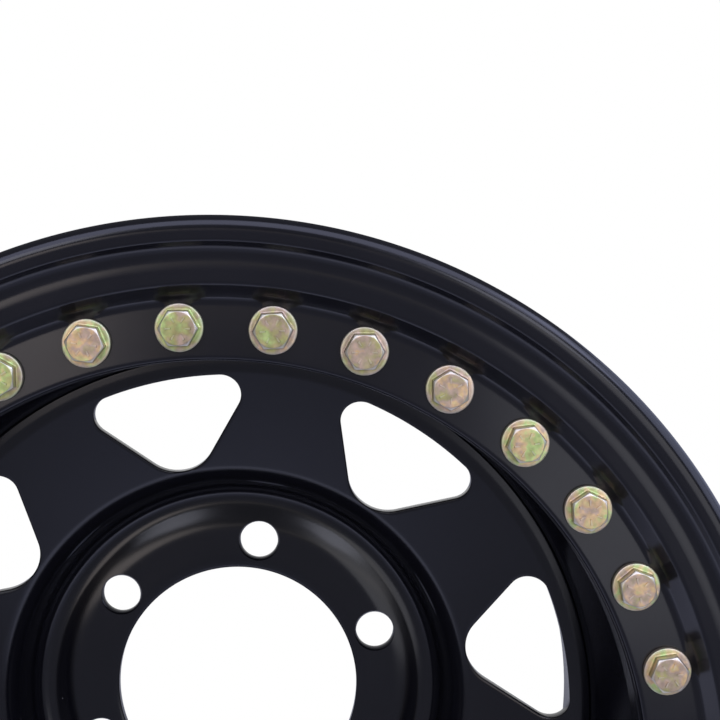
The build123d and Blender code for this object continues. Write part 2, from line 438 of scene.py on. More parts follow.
@dataclass(frozen=True)
class YellowZinc:
    """Zinc plate with a yellow chromate film, on upset steel bolts.

    The eye sees a pale straw metal whose thin film drifts to gold, pink and green from place to place, and
    paler edges, partly from a thinner film and partly a painted highlight. The plate's grain is drawn coarser
    than it is, so that it shows.
    """

    name: str = "yellow_chromated_zinc"
    film: tuple[tuple[float, str], ...] = (
        (0.0, "#c1b58b"), (0.15, "#c5ac8b"), (0.3, "#b19e90"), (0.45, "#a69983"), (0.6, "#a5a074"),
        (0.75, "#a5aa7a"), (0.87, "#acbd84"), (1.0, "#c1b58b"))
    # Pale colour of the edges: a thinner film, with a painted highlight laid on it.
    edge: str = "#dcd8c6"
    roughness: Point = (0.36, 0.46)
    metallic: float = 0.95
    drift_size: float = 5.0
    drift: Point = (-0.325, 0.325)
    smudge_size: float = 2.4
    smudge: Point = (0.95, 1.4)
    patch_detail: float = 2.0
    saturation: float = 1.12
    grain_size: float = 0.5
    grain_detail: float = 3.0
    grain_depth: float = 0.012

    def material(self) -> bpy.types.Material:
        """Build the metal: each bolt's film attribute, moved by noise, picks a colour from the film's ramp.

        Returns:
            The material.
        """
        made = bpy.data.materials.new(self.name)
        tree = fresh_tree(made)
        place = add_node(tree, "ShaderNodeTexCoord").outputs["Object"]
        phase, thin_film_and_highlight = (add_node(tree, "ShaderNodeAttribute", {"attribute_name": name}).outputs["Fac"]
                       for name in ("film", "thin_film_and_highlight"))
        patches, smudges, grain = (add_node(tree, "ShaderNodeTexNoise", inputs={
            "Vector": place, "Scale": 1 / (size * MM), "Detail": detail}).outputs["Fac"]
            for size, detail in ((self.drift_size, self.patch_detail), (self.smudge_size, self.patch_detail),
                                 (self.grain_size, self.grain_detail)))
        drift, shade = (add_node(tree, "ShaderNodeMapRange", inputs={
            "Value": noise, **span("From", NOISE_RANGE), **span("To", limits)}).outputs["Result"]
            for noise, limits in ((patches, self.drift), (smudges, self.smudge)))
        moved = add_node(tree, "ShaderNodeMath", {"operation": "ADD"}, {0: drift, 1: phase})
        wrapped = add_node(tree, "ShaderNodeMath", {"operation": "FRACT"}, {0: moved.outputs[0]})
        ramp = add_node(tree, "ShaderNodeValToRGB", inputs={"Fac": wrapped.outputs[0]})
        steps = ramp.color_ramp.elements
        for number, (position, colour) in enumerate(self.film):
            step = steps[number] if number < len(steps) else steps.new(position)
            step.position = position
            step.color = linear(colour)
        stained = add_node(tree, "ShaderNodeHueSaturation", inputs={
            "Color": ramp.outputs["Color"], "Saturation": self.saturation, "Value": shade})
        # The bolts' edge attribute pales the film towards the edges: partly a thinner film, partly a painted
        # highlight.
        tint = add_node(tree, "ShaderNodeMix", {"data_type": "RGBA"}, {
            "Factor": thin_film_and_highlight, MIX_FIRST: stained.outputs["Color"], MIX_SECOND: linear(self.edge)})
        gloss = add_node(tree, "ShaderNodeMapRange", inputs={"Value": patches, **span("To", self.roughness)})
        bump = add_node(tree, "ShaderNodeBump", inputs={
            "Height": grain, "Distance": self.grain_depth * MM, "Strength": 1.0})
        shader = add_node(tree, "ShaderNodeBsdfPrincipled", inputs={
            "Base Color": tint.outputs[MIX_RESULT], "Metallic": self.metallic,
            "Roughness": gloss.outputs["Result"], "Normal": bump.outputs["Normal"]})
        add_node(tree, "ShaderNodeOutputMaterial", inputs={"Surface": shader.outputs["BSDF"]})
        return made


@dataclass(frozen=True)
class Levels:
    """Sizes and levels that several pieces of the wheel share."""

    land: float = -154.0
    ring_wall: float = 6.0
    lock_land: float = 12.0
    lock_flange: float = 6.0
    first_step_rise: float = 5.4
    rim_width: float = 254.0
    bead_seat_radius: float = 190.1
    flange_radius: float = 207.4
    lock_shoulder_radius: float = 188.6
    bolt_circle_radius: float = 179.4
    bolt_count: int = 32
    bolt_angle: float = 105.17
    skirt_radius: float = 160.5
    well_radius: float = 165.15
    barrel_wall: float = 4.5
    skirt_end: float = -13.5
    weld_bite: float = 0.1

    @property
    def ring_back(self) -> float:
        """Level where the clamp ring meets the lock ring."""
        return self.land + self.ring_wall

    @property
    def lock_back(self) -> float:
        """Level where the lock ring meets the barrel."""
        return self.ring_back + self.lock_land + self.lock_flange

    @property
    def well_inside(self) -> float:
        """Radius of the barrel's hub side in the well."""
        return self.well_radius - self.barrel_wall

    @property
    def inner_flange(self) -> float:
        """Level of the inner flange's bead face."""
        return self.ring_back - self.first_step_rise + self.rim_width


def settle(piece: bpy.types.Object, material: bpy.types.Material, slot: Slot, *nodes: str) -> None:
    """Dress a finished piece, fix it to the wheel and report it.

    Args:
        piece: The finished object.
        material: Its finish.
        slot: The record's slot for that finish; not used.
        nodes: CAD nodes that the piece stands for.
    """
    piece.data.materials.append(material)
    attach(piece, BODY)
    apart = 0.0
    if nodes:
        low, high = (np.array(corner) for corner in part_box(nodes[0]))
        points = points_of(piece)
        apart = max(np.abs(points.min(0) - low).max(), np.abs(points.max(0) - high).max()) / MM
        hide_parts(*nodes)
    log.info("%s: %d faces, box within %.2f mm of its node", piece.name, len(piece.data.polygons), apart)


@dataclass
class BoltedRing:
    """A turned ring with a circle of bolt holes between two flat faces.

    Attributes:
        name: Name of the piece and its node.
        shared: Sizes shared by the wheel's pieces.
        corners: Section of the ring, from its inner front corner along the front.
        bends: Bend radius at each corner.
        faces: Levels of the front and back faces that the holes join.
        hole_radius: Radius of the bolt holes.
        columns: Steps round the ring from one bolt to the next.
        hole_steps: Steps across a hole.
    """

    name: str
    shared: Levels
    corners: list[Point]
    bends: list[float]
    faces: tuple[float, float]
    hole_radius: float
    columns: int = 12
    hole_steps: int = 10

    @property
    def across(self) -> Array:
        """Radii of the rows that cross a hole."""
        centre = self.shared.bolt_circle_radius
        return spaced(centre - self.hole_radius, centre + self.hole_radius, self.hole_steps)

    def section(self) -> Array:
        """Sample the closed section, with extra rows where the holes cross the two faces.

        Returns:
            Radius and level of each row.
        """
        rows = BentLine.through(self.corners, self.bends, closed=True).points
        across = self.across
        for level in self.faces:
            here = np.isclose(rows[:, 1], level)
            ahead = np.roll(rows[:, 0], -1)
            spans = (here & np.roll(here, -1) & (np.minimum(rows[:, 0], ahead) < across[0])
                     & (np.maximum(rows[:, 0], ahead) > across[-1]))
            at = int(np.flatnonzero(spans)[0])
            ordered = across if ahead[at] > rows[at, 0] else across[::-1]
            added = np.column_stack([ordered, np.full(len(ordered), level)])
            rows = np.insert(rows, at + 1, added, axis=0)
        return rows

    def build(self) -> bpy.types.Object:
        """Turn the section into the ring and line its holes.

        Returns:
            The ring.
        """
        shared = self.shared
        centre = shared.bolt_circle_radius
        rows = self.section()
        rows = np.concatenate([rows, rows[:1]])
        drilled = np.isclose(rows[:, 1:], self.faces).any(axis=1)
        gaps = np.where(drilled, circle_gap(rows[:, 0], centre, self.hole_radius), 0.0)
        work = Patchwork()
        work.add(sectors(rows, gaps, shared.bolt_count, shared.bolt_angle, self.columns))
        radii, angles = hole_loop(self.across, circle_gap(self.across, centre, self.hole_radius))
        turned = even_turns(shared.bolt_count, shared.bolt_angle) + angles
        work.add(lift(radii, np.array(self.faces)[:, None], turned))
        return work.build(self.name + "_shell")


@dataclass
class ClampRing:
    """The stepped outer ring that clamps the tyre's bead, with two softly crowned lands outside the bolts.

    Attributes:
        corners: Where the front's runs would meet, as radius and rise from the bolts' land.
        front_bends: Bend radius at each of those corners.
        back_bends: Bend radius at the same corners of the back.
    """

    shared: Levels
    corners: tuple[Point, ...] = ((166.5, 0.0), (189.2, 0.0), (195.8, 6.7), (202.2, 7.45), (207.6, 7.3),
                                  (211.9, 12.4), (218.9, 13.5), (221.0, 9.86))
    front_bends: tuple[float, ...] = (2.0, 4.5, 2.6, 13.0, 8.0, 2.4, 5.6, 0.6)
    back_bends: tuple[float, ...] = (0.2, 0.8, 1.0, 13.0, 0.9, 1.0, 3.0, 0.6)
    hole_radius: float = 4.5

    def build(self) -> bpy.types.Object:
        """Step the front line outboard twice to the lip, and take the back as that line moved by the wall.

        Returns:
            The ring.
        """
        shared = self.shared
        front = [(radius, shared.land - rise) for radius, rise in self.corners]
        back = [(radius, level + shared.ring_wall) for radius, level in reversed(front)]
        bends = [*self.front_bends, *reversed(self.back_bends)]
        ring = BoltedRing("clamp_ring", shared, front + back, bends, (shared.land, shared.ring_back),
                          self.hole_radius)
        return ring.build()


@dataclass
class LockRing:
    """The ring welded to the barrel, with the bead's shoulder, the bead's flange and the threaded holes."""

    shared: Levels
    inner_radius: float = 166.0
    edge_round: float = 0.2
    flange_round: float = 2.5
    shoulder_round: float = 0.4
    hole_radius: float = 4.1

    def build(self) -> bpy.types.Object:
        """Turn the section: land, shoulder, flange and back.

        Returns:
            The ring.
        """
        shared = self.shared
        flange_front = shared.ring_back + shared.lock_land
        corners = [
            (self.inner_radius, shared.ring_back),
            (shared.lock_shoulder_radius, shared.ring_back),
            (shared.lock_shoulder_radius, flange_front),
            (shared.flange_radius, flange_front),
            (shared.flange_radius, shared.lock_back),
            (self.inner_radius, shared.lock_back),
        ]
        bends = [self.edge_round, self.shoulder_round, self.shoulder_round, self.flange_round,
                 self.flange_round, self.edge_round]
        ring = BoltedRing("lock_ring", shared, corners, bends, (shared.ring_back, shared.lock_back),
                          self.hole_radius)
        return ring.build()


@dataclass
class RimBarrel:
    """The hoop rolled from sheet, with the drop-centre well, hump, bead seat, inner flange and valve hole."""

    shared: Levels
    outer_ledge: float = 18.0
    well_start: float = -56.0
    well_margin: float = 10.0
    inner_slope: float = 34.0
    inner_ledge_drop: float = 3.4
    bead_seat_width: float = 19.8
    bead_seat_angle: float = 5.0
    hump_height: float = 1.4
    hump_length: float = 9.0
    lip_length: float = 13.0
    barrel_bend: float = 12.0
    hump_bend: float = 6.0
    heel_bend: float = 6.5
    flange_bend: float = 9.0
    edge_round: float = 1.2
    valve_radius: float = 5.75
    valve_angle: float = 258.95
    columns: int = 288
    hole_steps: int = 14
    edge_samples: int = 4

    def line(self) -> BentLine:
        """Draw the tyre side from the lock ring to the flange's lip.

        Returns:
            The bent line, with the sheet to its left.
        """
        shared = self.shared
        slope_start = shared.lock_back + self.outer_ledge
        well_end = shared.skirt_end + self.well_margin
        seat_edge = shared.inner_flange - self.bead_seat_width
        seat_radius = shared.bead_seat_radius - self.bead_seat_width * tan(radians(self.bead_seat_angle))
        ledge_radius = seat_radius - self.inner_ledge_drop
        corners = [
            (shared.bead_seat_radius, shared.lock_back),
            (shared.bead_seat_radius, slope_start),
            (shared.well_radius, self.well_start),
            (shared.well_radius, well_end),
            (ledge_radius, well_end + self.inner_slope),
            (ledge_radius, seat_edge - 2 * self.hump_length),
            (seat_radius + self.hump_height, seat_edge - self.hump_length),
            (seat_radius, seat_edge),
            (shared.bead_seat_radius, shared.inner_flange),
            (shared.flange_radius, shared.inner_flange),
            (shared.flange_radius, shared.inner_flange + self.lip_length),
        ]
        bends = [self.barrel_bend] * 4 + [self.hump_bend] * 3 + [self.heel_bend, self.flange_bend]
        return BentLine.through(corners, bends)

    def build(self) -> bpy.types.Object:
        """Carry the sheet's section round the axis and cut the valve hole square through the outer slope.

        Rows that the hole crosses lie at distances s along the slope from its middle. There the hole's half
        width is the square root of r r - s s, which over the row's radius is the sine of the half gap.

        Returns:
            The barrel.
        """
        shared = self.shared
        outside = self.line()
        slope_start = np.array([shared.bead_seat_radius, shared.lock_back + self.outer_ledge])
        slope_end = np.array([shared.well_radius, self.well_start])
        middle, along = (slope_start + slope_end) / 2, unit(slope_end - slope_start)
        shifts = spaced(-self.valve_radius, self.valve_radius, self.hole_steps)
        before = int(np.flatnonzero((outside.points - middle) @ along < -self.valve_radius)[-1]) + 1
        cut = slice(before, before + len(shifts))
        outside = BentLine(np.insert(outside.points, before, middle + shifts[:, None] * along, axis=0),
                           np.insert(outside.normals, [before] * len(shifts), left_of(along), axis=0))
        inside = outside.moved(shared.barrel_wall)
        half_widths = np.sqrt(np.maximum(self.valve_radius**2 - shifts**2, 0))
        gaps = np.zeros((2, len(outside.points)))
        edges = []
        for line, line_gaps in zip((outside, inside), gaps):
            radii, levels = line.points[cut].T
            line_gaps[cut] = np.arcsin(half_widths / radii)
            around, angles = hole_loop(radii, line_gaps[cut])
            edges.append((around, np.append(levels, levels[-2::-1]), radians(self.valve_angle) + angles))
        lip = self.rounded_end(outside.points[-1], inside.points[-1])
        rows = np.concatenate([outside.points[:-1], lip, inside.points[-2::-1], outside.points[:1]])
        all_gaps = np.concatenate([gaps[0, :-1], np.zeros(len(lip)), gaps[1, -2::-1], gaps[0, :1]])
        work = Patchwork()
        work.add(sectors(rows, all_gaps, 1, self.valve_angle, self.columns))
        work.add(lift(*np.array(edges).swapaxes(0, 1)))
        return work.build("rim_barrel_shell")

    def rounded_end(self, outer: Array, inner: Array) -> Array:
        """Round the sheet's end at the flange lip by two quarter circles.

        Args:
            outer: Last point of the tyre side.
            inner: Last point of the hub side.

        Returns:
            Radius and level of the rows round the end.
        """
        angles = np.linspace(0, pi / 2, self.edge_samples)
        r = self.edge_round
        first = np.stack([outer[0] - r + r * np.cos(angles), outer[1] - r + r * np.sin(angles)], axis=-1)
        second = np.stack([inner[0] + r - r * np.sin(angles), inner[1] - r + r * np.cos(angles)], axis=-1)
        return np.concatenate([first, second])


@dataclass
class Window:
    """Outline of a window in the disc: two straight sides, a blunt point to the hub and an arc on top.

    Attributes:
        apex: Radius where the sides would meet.
        top: Radius of the arc on top.
        side_angle: Angle of a side to the window's middle line.
        apex_fillet: Radius of the blunt point.
        corner_fillet: Radius of the two outer corners.
    """

    apex: float = 99.4
    top: float = 151.6
    side_angle: float = 41.1
    apex_fillet: float = 17.3
    corner_fillet: float = 9.0

    def grown(self, margin: float) -> "Window":
        """Move the whole outline outwards by a margin.

        Args:
            margin: How far every side and arc moves.

        Returns:
            The larger outline.
        """
        apex = self.apex - margin / np.sin(radians(self.side_angle))
        return Window(apex, self.top + margin, self.side_angle, self.apex_fillet + margin,
                      self.corner_fillet + margin)

    def lowest(self) -> float:
        """Radius of the blunt point's end."""
        return self.apex + self.apex_fillet / np.sin(radians(self.side_angle)) - self.apex_fillet

    def gap(self, radii: Array) -> Array:
        """Find the half angle that the window takes out of circles about the wheel's axis.

        The outline is an arc about a point of the middle line, then a straight side, then an arc about the
        corner fillet's centre. A straight side that leaves the middle line at radius a under angle b meets
        the circle R at the angle b - asin(a sin b / R), and the arcs follow the cosine rule.

        Args:
            radii: Radii between the blunt point and the top.

        Returns:
            Half angles in radians.
        """
        slant = radians(self.side_angle)
        blunt = self.apex + self.apex_fillet / np.sin(slant)
        blunt_end = np.hypot(blunt - self.apex_fillet * np.sin(slant), self.apex_fillet * np.cos(slant))
        inset = self.apex + self.corner_fillet / np.sin(slant)
        reach = self.top - self.corner_fillet
        run = np.sqrt(reach**2 - (inset * np.sin(slant)) ** 2) - inset * np.cos(slant)
        corner = np.array([inset + run * np.cos(slant), run * np.sin(slant)])
        corner_start = np.linalg.norm(corner + self.corner_fillet * np.array([-np.sin(slant), np.cos(slant)]))
        corner_angle = np.arctan2(corner[1], corner[0])
        at_point = circle_gap(radii, blunt, self.apex_fillet)
        at_side = slant - np.arcsin(np.clip(self.apex * np.sin(slant) / radii, -1, 1))
        at_corner = corner_angle + circle_gap(radii, reach, self.corner_fillet)
        return np.where(radii < blunt_end, at_point, np.where(radii < corner_start, at_side, at_corner))


@dataclass
class WheelDisc:
    """The pressed centre: bore, raised nut pad, contact ring, bowl, spokes between windows, and skirt."""

    shared: Levels
    window: Window
    wall: float = 6.0
    bore_radius: float = 56.25
    stud_circle_radius: float = 69.85
    stud_hole_radius: float = 8.9
    stud_seat_radius: float = 9.7
    stud_seat_angle: float = 60.0
    stud_count: int = 6
    stud_angle: float = 81.45
    bore_edge: float = -8.5
    pad_start: Point = (60.6, -9.2)
    nut_pad: Point = (75.8, -9.2)
    pad_slope: Point = (80.2, -8.42)
    contact_inner: Point = (86.3, -6.44)
    contact_outer: Point = (94.5, -6.44)
    shoulder: Point = (101.2, -32.98)
    spoke_crown: Point = (154.6, -53.27)
    spoke_edge: float = -53.3
    bends: tuple[float, ...] = (25.0, 20.0, 38.0, 12.0, 8.0, 16.0, 15.0, 0.7)
    window_count: int = 8
    window_angle: float = 101.45
    seam_radius: float = 95.5
    edge_round: float = 0.6
    arc_step: float = 1.5
    stud_columns: int = 48
    window_columns: int = 36
    arc_columns: int = 14
    hole_steps: int = 20
    window_steps: int = 46
    seat_rounds: int = 8
    pad_rows: int = 5
    pad_margins: Point = (0.3, 0.4)
    bore_samples: int = 8
    edge_samples: int = 4
    row_clear: float = 0.25
    work: Patchwork = field(default_factory=Patchwork)

    @cached_property
    def front(self) -> BentLine:
        """Draw the front from the bore to the skirt's end, with the sheet to its left.

        Returns:
            The front line.
        """
        skirt = self.shared.skirt_radius
        corners = [(self.bore_radius, self.bore_edge), self.pad_start, self.nut_pad, self.pad_slope,
                   self.contact_inner, self.contact_outer, self.shoulder, self.spoke_crown,
                   (skirt, self.spoke_edge), (skirt, self.shared.skirt_end)]
        return BentLine.through(corners, list(self.bends), arc_step=self.arc_step)

    @cached_property
    def back(self) -> BentLine:
        """Move the front by the wall, and cut off what would cross the skirt's inside at its tight bend.

        Returns:
            The back line.
        """
        moved = self.front.moved(self.wall)
        points = moved.points.copy()
        inside = self.shared.skirt_radius - self.wall
        first = int(np.argmax(points[:, 0] > inside))
        (radius, level), (next_radius, next_level) = points[first - 1:first + 1]
        corner = level + (inside - radius) / (next_radius - radius) * (next_level - level)
        points[first:, 0] = inside
        points[first:, 1] = np.maximum(points[first:, 1], corner)
        return BentLine(points, moved.normals)

    def seat_radius(self, radii: Array) -> Array:
        """Find how wide the stud seat's cone is where it leaves the front surface.

        Args:
            radii: Radii from the wheel's axis.

        Returns:
            The cone's radius at the front's level, no less than the hole's.
        """
        depth = self.front.level_at(radii) - self.nut_pad[1]
        narrowing = np.clip(depth * tan(radians(self.stud_seat_angle / 2)), 0,
                            self.stud_seat_radius - self.stud_hole_radius)
        return self.stud_seat_radius - narrowing

    def rows_between(self, start: float, end: float) -> Array:
        """Take every other sample of the front line between two radii, clear of both."""
        radii = self.front.points[::2, 0]
        return radii[(radii > start + self.row_clear) & (radii < end - self.row_clear)]

    def bore_rows(self) -> Array:
        """Round the bore's edge from the back to the front by two quarter circles.

        Returns:
            Radius and level of the rows.
        """
        turn = np.linspace(0, pi / 2, self.bore_samples)
        quarter = np.stack([1 - np.sin(turn), 1 - np.cos(turn)], axis=-1)
        back_rows = np.array([self.bore_radius, self.back.points[0, 1]]) + self.edge_round * quarter * (1, -1)
        front_rows = np.array([self.bore_radius, self.front.points[0, 1]]) + self.edge_round * quarter
        return np.concatenate([back_rows, front_rows[::-1]])

    def hub_zone(self) -> None:
        """Add the hub's surface on both sides, from the seam through the bore, and the stud holes' walls.

        A seat's far edge is as far from the hole's centre as the cone is wide there. Repeated steps find it.
        """
        centre, hole, seat = self.stud_circle_radius, self.stud_hole_radius, self.stud_seat_radius
        far_side = np.array([centre + seat])
        for _ in range(self.seat_rounds):
            far_side = centre + self.seat_radius(far_side)
        across_front = spaced(centre - seat, float(far_side[0]), self.hole_steps)
        across_back = spaced(centre - hole, centre + hole, self.hole_steps)
        pad = np.linspace(self.bore_radius + self.edge_round + self.pad_margins[0],
                          centre - seat - self.pad_margins[1], self.pad_rows)
        outer = np.append(self.rows_between(centre + seat, self.seam_radius), self.seam_radius)
        front_radii, back_radii = (np.concatenate([pad, across, outer])
                                   for across in (across_front, across_back))
        bore = self.bore_rows()
        rows = np.concatenate([self.back.rows_at(back_radii)[::-1], bore, self.front.rows_at(front_radii)])
        gaps = np.concatenate([circle_gap(back_radii, centre, hole)[::-1], np.zeros(len(bore)),
                               circle_gap(front_radii, centre, self.seat_radius(front_radii))])
        self.work.add(sectors(rows, gaps, self.stud_count, self.stud_angle, self.stud_columns))
        self.stud_walls(across_front, across_back)

    def stud_walls(self, across_front: Array, across_back: Array) -> None:
        """Line the stud holes: the nut's cone, then the straight wall.

        Points of the wall's upper edge keep their bearing from the hole's centre, on the hole's own radius.

        Args:
            across_front: Row radii across the seat.
            across_back: Row radii across the hole at the back.
        """
        centre, hole = self.stud_circle_radius, self.stud_hole_radius
        seat_gaps = circle_gap(across_front, centre, self.seat_radius(across_front))
        radii, angles = hole_loop(across_front, seat_gaps)
        levels = self.front.level_at(radii)
        bearing = np.arctan2(radii * np.sin(angles), radii * np.cos(angles) - centre)
        wall_x, wall_z = centre + hole * np.cos(bearing), hole * np.sin(bearing)
        cone_end = self.nut_pad[1] + (self.stud_seat_radius - hole) / tan(radians(self.stud_seat_angle / 2))
        back_radii, back_angles = hole_loop(across_back, circle_gap(across_back, centre, hole))
        loops = np.stack([radii, np.hypot(wall_x, wall_z), back_radii])
        turns = np.stack([angles, np.arctan2(wall_z, wall_x), back_angles])
        heights = np.stack([levels, np.maximum(levels, cone_end), self.back.level_at(back_radii)])
        self.work.add(lift(loops, heights, even_turns(self.stud_count, self.stud_angle) + turns))

    def spoke_zone(self) -> None:
        """Add the spokes on both sides, from the seam to the top of the windows, and the windows' edges."""
        grown = self.window.grown(self.edge_round)
        low = grown.lowest()
        lead = np.append(self.seam_radius, self.rows_between(self.seam_radius, low))
        across = spaced(low, grown.top, self.window_steps)
        radii = np.concatenate([lead, across])
        gaps = np.concatenate([np.zeros(len(lead)), grown.gap(across)])
        gaps[len(lead)] = 0.0
        for line in (self.front, self.back):
            self.work.add(sectors(line.rows_at(radii), gaps, self.window_count, self.window_angle,
                                  self.window_columns))
        self.window_edges(across, gaps[len(lead):])

    def window_edges(self, across: Array, gaps: Array) -> None:
        """Carry a rounded edge round each window: a quarter circle, the cut wall and a quarter circle.

        The path is the window's outline moved out by the round. Each row of the edge moves the path towards
        the window by r sin(t) and away from the sheet's face by r - r cos(t).

        Args:
            across: Row radii across the window.
            gaps: Half angles at those rows.
        """
        arc = np.linspace(gaps[-1], -gaps[-1], self.arc_columns + 1)[1:-1]
        radii = np.concatenate([across, np.full(len(arc), across[-1]), across[:0:-1]])
        angles = np.concatenate([gaps, arc, -gaps[:0:-1]])
        path = np.stack([radii * np.cos(angles), radii * np.sin(angles)], axis=-1)
        inward = left_of(unit(np.roll(path, -1, axis=0) - np.roll(path, 1, axis=0)))
        middle = np.array([(across[0] + across[-1]) / 2, 0.0])
        inward *= np.sign(np.sum(inward * (middle - path)))
        turn = np.linspace(0, pi / 2, self.edge_samples)
        push = np.concatenate([np.sin(turn), np.sin(turn[::-1])]) * self.edge_round
        sink = (1 - np.cos(turn)) * self.edge_round
        places = path + push[:, None, None] * inward
        levels = np.concatenate([self.front.level_at(radii) + sink[:, None],
                                 self.back.level_at(radii) - sink[::-1, None]])
        places, levels = (np.concatenate([part, part[:, :1]], axis=1) for part in (places, levels))
        turned = even_turns(self.window_count, self.window_angle) + np.arctan2(places[..., 1], places[..., 0])
        self.work.add(lift(np.hypot(places[..., 0], places[..., 1]), levels, turned))

    def skirt_zone(self) -> None:
        """Add the sheet from the top of the windows over the skirt and back to the windows from behind."""
        grown = self.window.grown(self.edge_round)
        half = float(grown.gap(np.array([grown.top]))[0])
        rows = np.concatenate([self.front.beyond(grown.top), self.back.beyond(grown.top)[::-1]])
        sector = 2 * pi / self.window_count
        spoke = np.linspace(half, sector - half, self.window_columns + 1)
        arc = np.linspace(sector - half, sector + half, self.arc_columns + 1)[1:]
        turned = even_turns(self.window_count, self.window_angle) + np.append(spoke, arc)
        self.work.add(lift(rows[:, :1], rows[:, 1:], turned))

    def build(self) -> bpy.types.Object:
        """Join the hub, the spokes and the skirt into one closed sheet.

        Returns:
            The disc.
        """
        self.hub_zone()
        self.spoke_zone()
        self.skirt_zone()
        return self.work.build("wheel_disc_shell")


